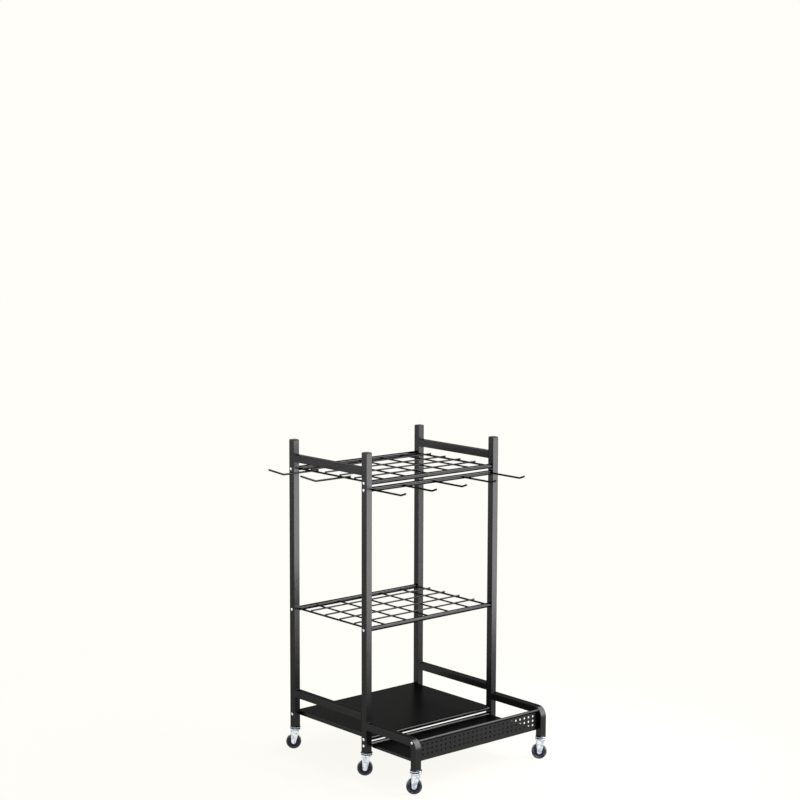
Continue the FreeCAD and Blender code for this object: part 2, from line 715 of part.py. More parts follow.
make_front_hooks()
make_side_hooks()
make_base_shelf()
make_tray_floor()
make_front_panel()
make_screws()
make_inserts()
make_stems()
for name, (x, y) in CASTERS.items():
    make_fork("fork_" + name, x, y)
    make_axle("axle_" + name, x, y)
    make_core("wheel_core_" + name, x, y)
    make_tyre("tyre_" + name, x, y)
doc.recompute()

# Caps on all four posts
cap_features = [item for item in caps.Group if item.isDerivedFrom("PartDesign::Feature")]
pattern = make_pattern(caps, "across", cap_features, "X_Axis", ex("{rack_width}"), "2")
pattern.Direction2 = (origin_part(caps, "Y_Axis"), [""])
pattern.setExpression("Length2", ex("{rack_depth}"))
pattern.Occurrences2 = 2
doc.recompute()

# Checks, then one STEP file for each piece
for item in doc.Objects:
    if "Invalid" in item.State or "Error" in item.State:
        raise RuntimeError(item.Name + " failed: " + str(item.State))
pieces = [item for item in doc.Objects if item.TypeId == "PartDesign::Body"]
for piece in pieces:
    if piece.Shape.isNull() or not piece.Shape.isValid() or not piece.Shape.Solids:
        raise RuntimeError(piece.Label + " has no valid solid")
os.makedirs("parts", exist_ok=True)
for piece in pieces:
    piece.Shape.exportStep("parts/" + piece.Label + ".step")
print(len(pieces), "pieces written")
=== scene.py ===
# %% [markdown]
# # A freestanding garden tool rack on six casters
# The rack is a frame of black powder-coated square tube with round rails, two welded
# wire grids, hooks, three folded sheets and six zinc swivel casters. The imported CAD
# model gives every place and size in metres. It keeps its round pieces light with a
# few flats, so this lesson gives each of them its smooth skin in the same place.

# %% Load the frame
import math

import bmesh
import bpy
import numpy as np
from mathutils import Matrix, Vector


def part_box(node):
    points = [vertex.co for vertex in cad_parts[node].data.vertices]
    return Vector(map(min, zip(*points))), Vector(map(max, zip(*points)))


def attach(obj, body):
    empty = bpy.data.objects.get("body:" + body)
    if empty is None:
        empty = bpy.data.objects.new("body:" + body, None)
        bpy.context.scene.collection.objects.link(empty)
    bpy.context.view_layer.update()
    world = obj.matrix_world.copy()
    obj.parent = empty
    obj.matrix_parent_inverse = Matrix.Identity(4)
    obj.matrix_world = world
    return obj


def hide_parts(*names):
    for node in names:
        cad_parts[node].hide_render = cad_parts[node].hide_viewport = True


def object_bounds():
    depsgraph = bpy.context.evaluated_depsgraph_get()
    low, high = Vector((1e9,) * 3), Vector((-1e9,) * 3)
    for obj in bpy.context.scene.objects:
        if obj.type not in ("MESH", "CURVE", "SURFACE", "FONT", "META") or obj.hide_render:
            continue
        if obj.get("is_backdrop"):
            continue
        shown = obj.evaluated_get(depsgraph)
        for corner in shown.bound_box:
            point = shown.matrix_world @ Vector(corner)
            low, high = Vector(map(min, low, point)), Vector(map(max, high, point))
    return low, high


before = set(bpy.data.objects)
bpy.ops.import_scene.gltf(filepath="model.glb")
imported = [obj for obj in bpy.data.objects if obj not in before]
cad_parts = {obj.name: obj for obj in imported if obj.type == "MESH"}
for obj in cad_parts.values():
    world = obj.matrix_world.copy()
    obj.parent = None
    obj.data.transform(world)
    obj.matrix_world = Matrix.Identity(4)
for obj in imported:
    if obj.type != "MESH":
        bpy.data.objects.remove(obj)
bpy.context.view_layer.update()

mm = 0.001

# %% [markdown]
# ## Measures
# Places come from the boxes of the CAD nodes, so a finished piece sits exactly where
# its plain solid does. Only what a box can't tell, such as a bend, is a value here.

# %% Places of the frame


def span(node):
    """Lowest and highest corner of a CAD node's box."""
    low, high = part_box(node)
    return np.array(low), np.array(high)


def middle(node):
    """Halfway between the lowest and the highest corner."""
    low, high = span(node)
    return (low + high) / 2


TUBE = 23 * mm
TUBE_CORNER = 1.5 * mm
HALF_TUBE = TUBE / 2
RAIL_RADIUS = 7.5 * mm
LEFT, FRONT, _ = middle("post_front_left")
RIGHT, REAR, _ = middle("post_rear_right")
LEGS = span("base_arm_left")[0][1] + HALF_TUBE
CENTRE = (LEFT + RIGHT) / 2
X, Y, Z = np.eye(3)
print("posts stand", round((RIGHT - LEFT) / mm), "by", round((REAR - FRONT) / mm), "mm apart")

# %% [markdown]
# ## Surfaces from numbers
# Nearly every piece of the rack is a profile carried along a line: a rounded square
# along a tube's run, a circle along a rail or a hook. A grid of points with one row
# for each stop of the line and one column for each point of the profile describes
# them all, so one function makes the grid and one makes the skin over it.

# %% Grids and their faces


def grid_faces(rows, columns, wrap):
    """Quads between neighbours of a numbered grid; wrap joins the last column to the first."""
    across = columns if wrap else columns - 1
    i, j = np.meshgrid(np.arange(rows - 1), np.arange(across), indexing="ij")
    k = (j + 1) % columns
    corners = [i * columns + j, i * columns + k, (i + 1) * columns + k, (i + 1) * columns + j]
    return np.stack(corners, axis=-1).reshape(-1, 4)


def closed_skin(grid):
    """Skin over a grid whose columns go round; a face closes its first row and its last."""
    rows, columns = grid.shape[:2]
    faces = grid_faces(rows, columns, True).tolist()
    faces.append(list(range(columns)))
    faces.append(list(range((rows - 1) * columns, rows * columns)))
    return grid.reshape(-1, 3), faces


def ring_skin(grid):
    """Skin over a grid that goes round both ways, such as a tyre."""
    rows, columns = grid.shape[:2]
    faces = grid_faces(rows + 1, columns, True) % (rows * columns)
    return grid.reshape(-1, 3), faces.tolist()


def together(*shapes):
    """Several shapes as one list of points and one list of faces."""
    points, faces, start = [], [], 0
    for some_points, some_faces in shapes:
        points.append(some_points)
        faces += [[index + start for index in face] for face in some_faces]
        start += len(some_points)
    return np.concatenate(points), faces


# %% [markdown]
# A profile keeps one direction fixed, because every bend of this rack lies in one
# plane. The other direction turns with the line. Flat sides get a row of points just
# beside each rounded corner, so that the shading turns at the corner only.

# %% Profiles


def circle(radius, count):
    """Points of a circle: radius times the cosine and sine of evenly spaced angles."""
    turn = np.arange(count) * 2 * np.pi / count
    return radius * np.stack([np.cos(turn), np.sin(turn)], axis=-1)


def rounded_square(width, corner, steps=4):
    """Four quarter circles, centred one corner radius inside, with a point beside each end."""
    turn = np.linspace(0, np.pi / 2, steps + 1)
    inner = width / 2 - corner
    beside = 0.4 * mm
    arc = np.stack([inner + corner * np.cos(turn), inner + corner * np.sin(turn)], axis=-1)
    arc = np.concatenate([[arc[0] - [0, beside]], arc, [arc[-1] - [beside, 0]]])
    quarter = np.array([[0, -1], [1, 0]])
    return np.concatenate([arc @ np.linalg.matrix_power(quarter, k).T for k in range(4)])


def carried(profile, line, ways, side, scale=None):
    """Each stop of the line, plus the profile's first number along side and its second across
    side and way; scale makes the profile larger or smaller at each stop."""
    up = np.cross(ways, side)
    up /= np.linalg.norm(up, axis=1, keepdims=True)
    scale = np.ones(len(line)) if scale is None else scale
    first = profile[None, :, 0, None] * scale[:, None, None] * side
    second = profile[None, :, 1, None] * scale[:, None, None] * up[:, None, :]
    return line[:, None, :] + first + second


# %% Lines to carry a profile along


def straight(start, end, stops=(0, 1)):
    """Points at the given shares of the way from start to end."""
    start, end = np.array(start, float), np.array(end, float)
    line = start + np.array(stops)[:, None] * (end - start)
    return line, np.tile((end - start) / np.linalg.norm(end - start), (len(line), 1))


def bent(start, corner, end, radius, steps=12):
    """Straight run, arc, straight run; the arc starts radius times tan(half the turn) before
    the corner, so it touches both runs."""
    start, corner, end = (np.array(point, float) for point in (start, corner, end))
    first = (corner - start) / np.linalg.norm(corner - start)
    last = (end - corner) / np.linalg.norm(end - corner)
    turn = math.acos(float(np.clip(first @ last, -1, 1)))
    across = last - (first @ last) * first
    across /= np.linalg.norm(across)
    begin = corner - first * radius * math.tan(turn / 2)
    angle = np.linspace(0, turn, steps + 1)[:, None]
    arc = begin + radius * (np.sin(angle) * first + (1 - np.cos(angle)) * across)
    ways = np.cos(angle) * first + np.sin(angle) * across
    beside = 0.6 * mm
    before, after = arc[0] - first * beside, arc[-1] + last * beside
    line = np.concatenate([[start, before], arc, [after, end]])
    return line, np.concatenate([[first, first], ways, [last, last]])


# %% [markdown]
# The mesh gets its points and faces in one call. Points that fall on each other are
# merged, the faces are turned outwards, and edges sharper than 35 degrees stay sharp,
# as the cut ends of a tube do, while everything rounder is shaded smooth.

# %% From shape to piece
SAME_POINT = 1e-7
SHARP_EDGE = math.radians(35)


def put_piece(name, shape, body, nodes, finish):
    """A mesh object at the origin that stands for CAD nodes and rides on their body."""
    points, faces = shape
    mesh = bpy.data.meshes.new(name)
    mesh.from_pydata(points.tolist(), [], faces)
    work = bmesh.new()
    work.from_mesh(mesh)
    bmesh.ops.remove_doubles(work, verts=work.verts, dist=SAME_POINT)
    bmesh.ops.recalc_face_normals(work, faces=work.faces)
    loose = sum(not edge.is_manifold for edge in work.edges)
    work.to_mesh(mesh)
    work.free()
    mesh.polygons.foreach_set("use_smooth", np.ones(len(mesh.polygons), bool))
    mesh.set_sharp_from_angle(angle=SHARP_EDGE)
    mesh.materials.append(finish)
    piece = bpy.data.objects.new(name, mesh)
    bpy.context.scene.collection.objects.link(piece)
    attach(piece, body)
    if nodes:
        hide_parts(*nodes)
    print(name, len(mesh.vertices), "points,", loose, "open edges")


# %% [markdown]
# ## Finishes
# A finish is a small tree of shader nodes. Written as Python expressions, its sums
# read like sums: a `Value` wraps one socket, and each operator on it adds the Math
# node that does the same. Any other node comes from one method of the tree.

# %% Values that do sums


class Value:
    """One output socket of a node tree; the operators add Math nodes to that tree."""

    def __init__(self, tree, socket):
        self.tree = tree
        self.socket = socket

    def __add__(self, other):
        return self.tree.calculate("ADD", self, other)

    def __sub__(self, other):
        return self.tree.calculate("SUBTRACT", self, other)

    def __rsub__(self, other):
        return self.tree.calculate("SUBTRACT", other, self)

    def __mul__(self, other):
        return self.tree.calculate("MULTIPLY", self, other)

    __radd__ = __add__
    __rmul__ = __mul__

    def between(self, low, high):
        """0 below low, 1 above high, and a smooth rise between them."""
        settings = {"interpolation_type": "SMOOTHSTEP"}
        inputs = {"Value": self, "From Min": low, "From Max": high}
        return self.tree.node("ShaderNodeMapRange", settings, inputs)


# %% Trees of nodes


class NodeTree:
    """A tree of shader nodes, of a material or of the world."""

    def __init__(self, tree):
        self.tree = tree

    def node(self, kind, settings=None, inputs=None, output=0):
        """A node of this kind: its settings, then a number, colour or Value for each input."""
        node = self.tree.nodes.new(kind)
        for name, setting in (settings or {}).items():
            setattr(node, name, setting)
        for name, given in (inputs or {}).items():
            if isinstance(given, Value):
                self.tree.links.new(given.socket, node.inputs[name])
            else:
                node.inputs[name].default_value = given
        return Value(self, node.outputs[output])

    def calculate(self, operation, *terms):
        """A Math node with these numbers or Values as its terms."""
        return self.node("ShaderNodeMath", {"operation": operation}, dict(enumerate(terms)))

    def show(self, shader, output):
        """Links a shader to the surface of the named output node."""
        self.tree.links.new(shader.socket, self.tree.nodes[output].inputs["Surface"])


# %% Finishes


class Finish(NodeTree):
    """A material with one Principled shader, whose constants are set on its own sockets."""

    def __init__(self, name, **constants):
        self.material = bpy.data.materials.new(name)
        self.material.use_nodes = True
        super().__init__(self.material.node_tree)
        self.shader = self.tree.nodes["Principled BSDF"]
        for socket, number in constants.items():
            self.shader.inputs[socket.replace("_", " ")].default_value = number

    def place(self):
        return self.node("ShaderNodeTexCoord", output="Object")

    def noise(self, vector, scale, detail, rough=0.5):
        inputs = {"Vector": vector, "Scale": scale, "Detail": detail, "Roughness": rough}
        return self.node("ShaderNodeTexNoise", None, inputs)

    def mix(self, factor, first, second):
        """The first colour where the factor is 0 and the second where it is 1."""
        inputs = {"Factor": factor, 6: (*first, 1), 7: (*second, 1)}
        return self.node("ShaderNodeMix", {"data_type": "RGBA"}, inputs, output=2)

    def bump(self, height, strength, distance):
        inputs = {"Height": height, "Strength": strength, "Distance": distance}
        return self.node("ShaderNodeBump", None, inputs)

    def feed(self, **values):
        """Links each Value to the shader's socket of that name and gives the material."""
        for socket, value in values.items():
            self.tree.links.new(value.socket, self.shader.inputs[socket.replace("_", " ")])
        return self.material


# %% [markdown]
# ### Powder coat
# The powder melts on the hot steel and sets as a satin black skin. It never levels
# quite flat: close up it has the fine swell of orange peel, and its gloss drifts a
# little from place to place. Two fine noises make the swell, and two slow ones move
# the gloss and lift the black by a trace.
#
# A plain paint shader mirrors nearly everything at a flat angle, which turns the sheets
# and the rims of every round rail grey. This coat stays deep black there. So it is
# written as a very dark metal: its mirror strength is its colour, about 3 in 100, and
# the specular tint holds it down towards the rim.
#
# The thin round rods, wires and hooks get a copy of the same coat with both blacks at 6 in 10 of
# their value, which is painted shade, and with a lower roughness for one sharper line of light.

# %% Powder coat
DEEP_BLACK, PALE_BLACK = np.array([(0.027, 0.027, 0.0285), (0.037, 0.036, 0.036)])
RIM_TINT = (0.38, 0.38, 0.38, 1)


def make_powder_coat(name, share, least_rough):
    """Both blacks times share; the same two slow noises add to the least roughness."""
    finish = Finish(name, Metallic=1.0, Specular_Tint=RIM_TINT)
    place = finish.place()
    drift = finish.noise(place, 7.0, 3.0)
    cloud = finish.noise(place, 60.0, 3.0)
    swell = finish.noise(place, 420.0, 1.0)
    grain = finish.noise(place, 1500.0, 1.0)
    shade = drift * 0.6 + cloud * 0.4
    colour = finish.mix(shade, DEEP_BLACK * share, PALE_BLACK * share)
    rough = least_rough + drift * 0.06 + cloud * 0.05
    peel = finish.bump(swell * 0.8 + grain * 0.2, 0.35, 0.2 * mm)
    return finish.feed(Base_Color=colour, Roughness=rough, Normal=peel)


powder_coat = make_powder_coat("powder_coat_black", 1.0, 0.26)
# Painted shade: the rods' coat is the same coat made darker, at 6 in 10 of its blacks.
shaded_rod_coat = make_powder_coat("powder_coat_rods_shaded", 0.6, 0.10)
print("made", powder_coat.name, "and", shaded_rod_coat.name)

# %% [markdown]
# ### Moulded plastic
# The caps on the posts and the plugs in the tube ends are black polypropylene; the casters'
# black rings between plate and fork use the same plastic as painted shade. A spark-eroded mould
# leaves a fine matt grain on it, with a dull, slightly uneven sheen. The wheel cores come from a
# polished mould, so they are smoother, and their plastic is a cooler black; its pale cloudy
# patches are painted sheen.

# %% Moulded plastic


def make_plastic(name, dark, light, least_rough):
    """Dark and light colour mixed by one noise, which also adds to the least roughness."""
    finish = Finish(name, Specular_IOR_Level=0.25)
    place = finish.place()
    cloud = finish.noise(place, 90.0, 3.0)
    grain = finish.noise(place, 2600.0, 2.0)
    colour = finish.mix(cloud, dark, light)
    skin = finish.bump(grain, 0.4, 0.12 * mm)
    return finish.feed(Base_Color=colour, Roughness=least_rough + cloud * 0.12, Normal=skin)


cap_plastic = make_plastic("cap_plastic", (0.008, 0.008, 0.009), (0.014, 0.014, 0.015), 0.42)
# The cores' pale bluish patches are painted sheen.
core_plastic_painted_sheen = make_plastic("core_plastic_painted_sheen", (0.004, 0.005, 0.013), (0.050, 0.058, 0.085), 0.16)
print("made", cap_plastic.name, "and", core_plastic_painted_sheen.name)

# %% [markdown]
# ### Tyre
# The tread is a hard rubber in a cool blue-black with a soft gloss. It carries a fine grain, and
# pale bluish patches that a noise gathers, which are painted sheen. The same patches also raise
# the roughness.

# %% Tyre


def make_tyre_rubber():
    """Rubber colour, and painted sheen over it where the noise is high."""
    finish = Finish("tyre_rubber")
    place = finish.place()
    cloud = finish.noise(place, 120.0, 4.0, 0.6)
    grain = finish.noise(place, 1800.0, 2.0)
    # Painted sheen: pale bluish patches over the dark rubber.
    painted_sheen = cloud.between(0.47, 0.64) * 0.7
    colour = finish.mix(painted_sheen, (0.003, 0.004, 0.012), (0.085, 0.098, 0.140))
    skin = finish.bump(grain, 0.5, 0.2 * mm)
    return finish.feed(Base_Color=colour, Roughness=0.20 + painted_sheen * 0.2, Normal=skin)


tyre_rubber = make_tyre_rubber()
print("made", tyre_rubber.name)

# %% [markdown]
# ### Zinc
# Casters and screws are steel with bright zinc on it, passivated to a cool, bluish white. A
# mirror in a plain white room is plain white too, so the zinc's look here comes from painted
# reflection: darker blue-grey patches some millimetres wide stand in for the darker things and
# pressed shapes that a real caster mirrors. The stamped sheet also keeps faint drawing marks, a
# noise stretched along the height of the leg.

# %% Zinc


def make_zinc():
    """Metal whose colour follows painted reflection patches from its clouding noise, and whose
    roughness follows that noise; the marks add roughness and bump.
    """
    finish = Finish("bright_zinc", Metallic=1.0)
    place = finish.place()
    stretch = {"Vector": place, "Scale": (1.0, 1.0, 0.12)}
    marks = finish.noise(finish.node("ShaderNodeMapping", None, stretch), 700.0, 2.0)
    cloud = finish.noise(place, 130.0, 3.0, 0.6)
    # Painted reflection: the darker blue-grey patches stand in for what the zinc would mirror.
    painted_reflection = cloud.between(0.36, 0.60)
    colour = finish.mix(painted_reflection, (0.40, 0.46, 0.56), (0.88, 0.91, 0.94))
    rough = 0.20 + cloud * 0.14 + marks * 0.06
    skin = finish.bump(marks, 0.18, 0.1 * mm)
    return finish.feed(Base_Color=colour, Roughness=rough, Normal=skin)


zinc = make_zinc()
print("made", zinc.name)

# %% [markdown]
# ## Square tubes
# A welded tube has rounded corners of about its wall's thickness, here 1.5 mm. The
# posts and the side bars are straight runs of that profile.

# %% Posts
TUBE_PROFILE = rounded_square(TUBE, TUBE_CORNER)


def tube_run(start, end):
    """The tube's profile carried along a straight line, with two flat sides square to x."""
    return closed_skin(carried(TUBE_PROFILE, *straight(start, end), X))


for place in ("front_left", "front_right", "rear_left", "rear_right"):
    node = "post_" + place
    low, high = span(node)
    x, y, _ = (low + high) / 2
    shape = tube_run((x, y, low[2]), (x, y, high[2]))
    put_piece("tube_of_" + node, shape, "rack", [node], powder_coat)

# %% [markdown]
# Where a side bar meets a post, the welder lays a short bead above and below. A bead
# is a small round bar whose thickness swells and thins as the pool freezes, so its
# radius follows a sine along its length and fades at both ends.

# %% Weld beads
BEAD_RADIUS, BEAD_RIPPLE, BEAD_INSET = 1.3 * mm, 1.6 * mm, 2 * mm


def bead(start, end):
    """Circle along a short level line; its radius is the bead's, times a dome, times a small
    sine of the distance."""
    length = float(np.linalg.norm(np.array(end) - np.array(start)))
    stops = np.linspace(0, 1, max(8, int(length / BEAD_RIPPLE * 5)))
    dome = np.sin(np.pi * np.clip(stops, 0.004, 0.996)) ** 0.25
    wave = 1 + 0.10 * np.sin(stops * length / BEAD_RIPPLE * 2 * np.pi)
    line, ways = straight(start, end, stops)
    side = np.cross(ways[0], Z)
    side /= np.linalg.norm(side)
    return closed_skin(carried(circle(BEAD_RADIUS, 10), line, ways, side, dome * wave))


def end_beads(x, y, levels):
    """A bead along x at each level, as long as the flat of the tube that ends there."""
    left, right = x - HALF_TUBE + BEAD_INSET, x + HALF_TUBE - BEAD_INSET
    return [bead((left, y, level), (right, y, level)) for level in levels]


# %% Side bars
for side in ("left", "right"):
    for node in ("top_bar_" + side, "guard_bar_" + side):
        low, high = span(node)
        x, _, z = (low + high) / 2
        run = tube_run((x, low[1], z), (x, high[1], z))
        edges = (low[2], high[2])
        beads = end_beads(x, low[1], edges) + end_beads(x, high[1], edges)
        shape = together(run, *beads)
        put_piece("tube_of_" + node, shape, "rack", [node], powder_coat)

# %% [markdown]
# The base arms run forward from the front posts and turn down as short legs. A real
# tube of this size is bent on a mandrel to an inner radius of nearly half its width,
# which the CAD gives as 20 mm on the centre line.

# %% Base arms
ARM_BEND = 20 * mm
ARM_LEVEL = span("base_arm_left")[1][2] - HALF_TUBE
for side, x in (("left", LEFT), ("right", RIGHT)):
    node = "base_arm_" + side
    low, high = span(node)
    corner = (x, LEGS, ARM_LEVEL)
    line, ways = bent((x, high[1], ARM_LEVEL), corner, (x, LEGS, low[2]), ARM_BEND)
    arm = closed_skin(carried(TUBE_PROFILE, line, ways, X))
    beads = end_beads(x, high[1], (ARM_LEVEL - HALF_TUBE, ARM_LEVEL + HALF_TUBE))
    put_piece("tube_of_" + node, together(arm, *beads), "rack", [node], powder_coat)

# %% [markdown]
# ## Round rails, rods and wires
# A rail is a round tube that butts against the inner faces of two posts and is held
# by a screw through each. A welded wire is a little thicker at its ends, where weld
# metal has run round it: the radius grows by a bell curve over the last millimetres.

# %% Round bars
WELD_REACH = 1.8 * mm
WELD_STOPS = np.array([0.6, 1.2, 1.8, 2.6, 3.6, 5.0]) * mm


def round_bar(start, end, radius, weld, count=24):
    """Circle along a level line; near both ends the radius grows by weld times a bell curve
    of the distance to the end."""
    length = float(np.linalg.norm(np.array(end) - np.array(start)))
    near = np.concatenate([[0], WELD_STOPS]) / length
    stops = np.concatenate([near, 1 - near[::-1]])
    away = np.minimum(stops, 1 - stops) * length
    scale = 1 + weld / radius * np.exp(-((away / WELD_REACH) ** 2))
    line, ways = straight(start, end, stops)
    return closed_skin(carried(circle(radius, count), line, ways, Z, scale))


# %% Rails
PANEL_ROD_RADIUS, RAIL_WELD = 5 * mm, 0.35 * mm
RAILS = ["top_front_rail", "hook_rail", "top_rear_rail", "middle_front_rail", "middle_rear_rail"]
RAILS += ["base_front_rail", "tray_rail", "base_rear_rail", "panel_rod"]
for node in RAILS:
    low, high = span(node)
    _, y, z = (low + high) / 2
    radius = PANEL_ROD_RADIUS if node == "panel_rod" else RAIL_RADIUS
    shape = round_bar((low[0], y, z), (high[0], y, z), radius, RAIL_WELD, 32)
    put_piece("round_" + node, shape, "rack", [node], shaded_rod_coat)

# %% Rods and wires of the two grids
SIDE_ROD_RADIUS, WIRE_RADIUS = 3 * mm, 2.5 * mm
WIRE_PITCH = 88 * mm
ROD_WELD, CROSS_WELD = 0.6 * mm, 0.4 * mm
for level in ("top", "middle"):
    for side in ("left", "right"):
        node = level + "_side_rod_" + side
        low, high = span(node)
        x, _, z = (low + high) / 2
        shape = round_bar((x, low[1], z), (x, high[1], z), SIDE_ROD_RADIUS, ROD_WELD)
        put_piece("round_" + node, shape, "rack", [node], shaded_rod_coat)
    node = level + "_y_wires"
    low, high = span(node)
    z = (low[2] + high[2]) / 2
    rods = [
        round_bar((x, low[1], z), (x, high[1], z), WIRE_RADIUS, ROD_WELD)
        for x in CENTRE + (np.arange(5) - 2) * WIRE_PITCH
    ]
    put_piece("round_" + node, together(*rods), "rack", [node], shaded_rod_coat)
    node = level + "_x_wires"
    low, high = span(node)
    z = (low[2] + high[2]) / 2
    rods = [
        round_bar((low[0], y, z), (high[0], y, z), WIRE_RADIUS, CROSS_WELD)
        for y in np.linspace(low[1] + WIRE_RADIUS, high[1] - WIRE_RADIUS, 4)
    ]
    put_piece("round_" + node, together(*rods), "rack", [node], shaded_rod_coat)

# %% [markdown]
# ## Hooks
# Each hook is one rod, bent gently upwards near its end so that what hangs on it
# can't slide off. The cut end is dipped in the same coat, which rounds it. The root
# is welded to its rail, so it has the same swelling as a wire.

# %% One hook
HOOK_RADIUS, HOOK_BEND = 3 * mm, 12 * mm
HOOK_RISE = math.radians(20)


def hook(start, way, run, tip):
    """A bent line with a circle along it; the last stops shrink along a quarter circle, so
    the end is a dome."""
    last = math.cos(HOOK_RISE) * way + math.sin(HOOK_RISE) * Z
    corner = start + run * way
    end = corner + tip * last
    line, ways = bent(start, corner, end, HOOK_BEND, 8)
    root = start + WELD_STOPS[:, None] * way
    line = np.concatenate([line[:1], root, line[1:-1]])
    ways = np.concatenate([ways[:1], np.tile(way, (len(root), 1)), ways[1:-1]])
    away = np.linalg.norm(line - start, axis=1)
    swell = 1 + ROD_WELD / HOOK_RADIUS * np.exp(-((away / WELD_REACH) ** 2))
    turn = np.linspace(0, np.pi / 2, 7)[:-1]
    dome = end + (np.sin(turn)[:, None] - 1) * HOOK_RADIUS * last
    line = np.concatenate([line, dome])
    ways = np.concatenate([ways, np.tile(last, (len(dome), 1))])
    scale = np.concatenate([swell, np.cos(turn)])
    return closed_skin(carried(circle(HOOK_RADIUS, 20), line, ways, np.cross(way, Z), scale))


# %% Five hooks to the front, two to the left
HOOK_PITCH = 122.5 * mm
FRONT_REACH, FRONT_TIP = 138 * mm, 23.5 * mm
SIDE_REACH, SIDE_TIP = 117 * mm, 62 * mm
HOOK_LEVEL = middle("hook_rail")[2]
fronts = []
for x in CENTRE + (np.arange(5) - 2) * HOOK_PITCH:
    start = np.array([x, FRONT - RAIL_RADIUS, HOOK_LEVEL])
    fronts.append(hook(start, -Y, FRONT_REACH - RAIL_RADIUS, FRONT_TIP))
put_piece("round_front_hooks", together(*fronts), "rack", ["front_hooks"], shaded_rod_coat)

low, high = span("side_hooks")
sides = []
for y in (low[1] + HOOK_RADIUS, high[1] - HOOK_RADIUS):
    start = np.array([high[0], y, low[2] + HOOK_RADIUS])
    sides.append(hook(start, -X, SIDE_REACH + high[0] - LEFT, SIDE_TIP))
put_piece("round_side_hooks", together(*sides), "rack", ["side_hooks"], shaded_rod_coat)

# %% [markdown]
# ## Folded sheets
# The shelf, the tray and the front panel are steel sheet 1.2 mm thick, folded on a
# press brake. A folded sheet is best described in the flat: first a grid over the cut
# blank, then a line that says how far the blank rises and turns on its way across.
# Half the thickness goes to each side of that middle surface.

# %% Folded lines and thick sheets
SHEET, FOLD = 1.2 * mm, 1.6 * mm
HALF_SHEET = SHEET / 2


def folded(corners, radius=FOLD, steps=5):
    """A line of straight runs with an arc at each inner corner, and for each of its points the
    direction a quarter turn left of the line."""
    corners = [np.array(corner, float) for corner in corners]
    first = corners[1] - corners[0]
    line, ways = [corners[0]], [first / np.linalg.norm(first)]
    for before, corner, after in zip(corners, corners[1:], corners[2:]):
        arc, arc_ways = bent(before, corner, after, radius, steps)
        line += list(arc[1:-1])
        ways += list(arc_ways[1:-1])
    line.append(corners[-1])
    ways.append(ways[-1])
    line, ways = np.array(line), np.array(ways)
    return line, np.stack([-ways[:, 1], ways[:, 0]], axis=-1)


def spread(line, normal, across, axis):
    """A grid with one row for each point of a folded line and one column for each place across
    it. The axis is the one that the line leaves out: 0 for x, 1 for y."""
    across = np.broadcast_to(across, (len(line), across.shape[-1]))
    columns = across.shape[1]
    rows = np.repeat(line[:, None, :], columns, axis=1)
    surface = np.insert(rows, axis, across, axis=2).reshape(-1, 3)
    normals = np.repeat(np.insert(normal, axis, 0, axis=1), columns, axis=0)
    return surface, normals, grid_faces(len(line), columns, False)


def thick_sheet(surface, normals, quads, thickness=SHEET):
    """Two copies of a middle surface, half the thickness out along its normals each way, and
    a wall at each free edge."""
    count = len(surface)
    out = normals * thickness / 2
    points = np.concatenate([surface + out, surface - out])
    edges = np.concatenate([quads[:, pair] for pair in ([0, 1], [1, 2], [2, 3], [3, 0])])
    ordered = np.sort(edges, axis=1)
    _, first, uses = np.unique(ordered, axis=0, return_index=True, return_counts=True)
    free = edges[first[uses == 1]]
    walls = np.stack([free[:, 1], free[:, 0], free[:, 0] + count, free[:, 1] + count], axis=-1)
    return points, np.concatenate([quads, quads[:, ::-1] + count, walls]).tolist()


# %% [markdown]
# The shelf and the tray floor both have a lip folded down at their left and right end.
# Each lip is cut shorter than the sheet is deep, to clear the rails, so the sheet
# narrows to it over the fold.

# %% Base shelf
RAIL_GAP = 2 * RAIL_RADIUS + 0.3 * mm
SHARES = np.linspace(0, 1, 9)


def ends_down(low, high):
    """The line from lip to lip, and how far each point is into a lip: 0 on the level part, 1
    from one fold radius below it."""
    left, right, top = low[0] + HALF_SHEET, high[0] - HALF_SHEET, high[2] - HALF_SHEET
    line, normal = folded([(left, low[2]), (left, top), (right, top), (right, low[2])])
    return line, normal, np.clip((top - line[:, 1]) / FOLD, 0, 1)


low, high = span("base_shelf")
line, normal, lip = ends_down(low, high)
front, back = low[1] + RAIL_GAP * lip, high[1] - RAIL_GAP * lip
y = front[:, None] * (1 - SHARES) + back[:, None] * SHARES
shape = thick_sheet(*spread(line, normal, y, 1))
put_piece("folded_base_shelf", shape, "rack", ["base_shelf"], powder_coat)

# %% [markdown]
# The tray floor has lips on three sides: left, right and back. Its front edge lies on
# the return of the front panel. The left and right lips stop short of that return.

# %% Tray floor
RETURN_GAP, SEAM_GAP, BACK_LIP_GAP = 14.3 * mm, 6 * mm, 2.4 * mm
low, high = span("tray_floor")
line, normal, lip = ends_down(low, high)
top, back = high[2] - HALF_SHEET, high[1] - HALF_SHEET
seam = back - SEAM_GAP
y = (low[1] + RETURN_GAP * lip)[:, None] * (1 - SHARES) + seam * SHARES
floor_sheet = thick_sheet(*spread(line, normal, y, 1))
line, normal = folded([(seam, top), (back, top), (back, low[2])])
x = np.linspace(low[0] + BACK_LIP_GAP, high[0] - BACK_LIP_GAP, 5)
back_lip = thick_sheet(*spread(line, normal, x, 0))
shape = together(floor_sheet, back_lip)
put_piece("folded_tray_floor", shape, "rack", ["tray_floor"], powder_coat)

# %% [markdown]
# ## Perforated front panel
# The panel is punched with 26 columns and 3 rows of round holes before it is folded.
# Each hole sits in a cell of the blank's grid, and a ring of faces joins the cell's
# border to the circle. Every other part of the blank is a plain grid, whose lines run
# through the borders' points, so the whole blank is one connected surface.

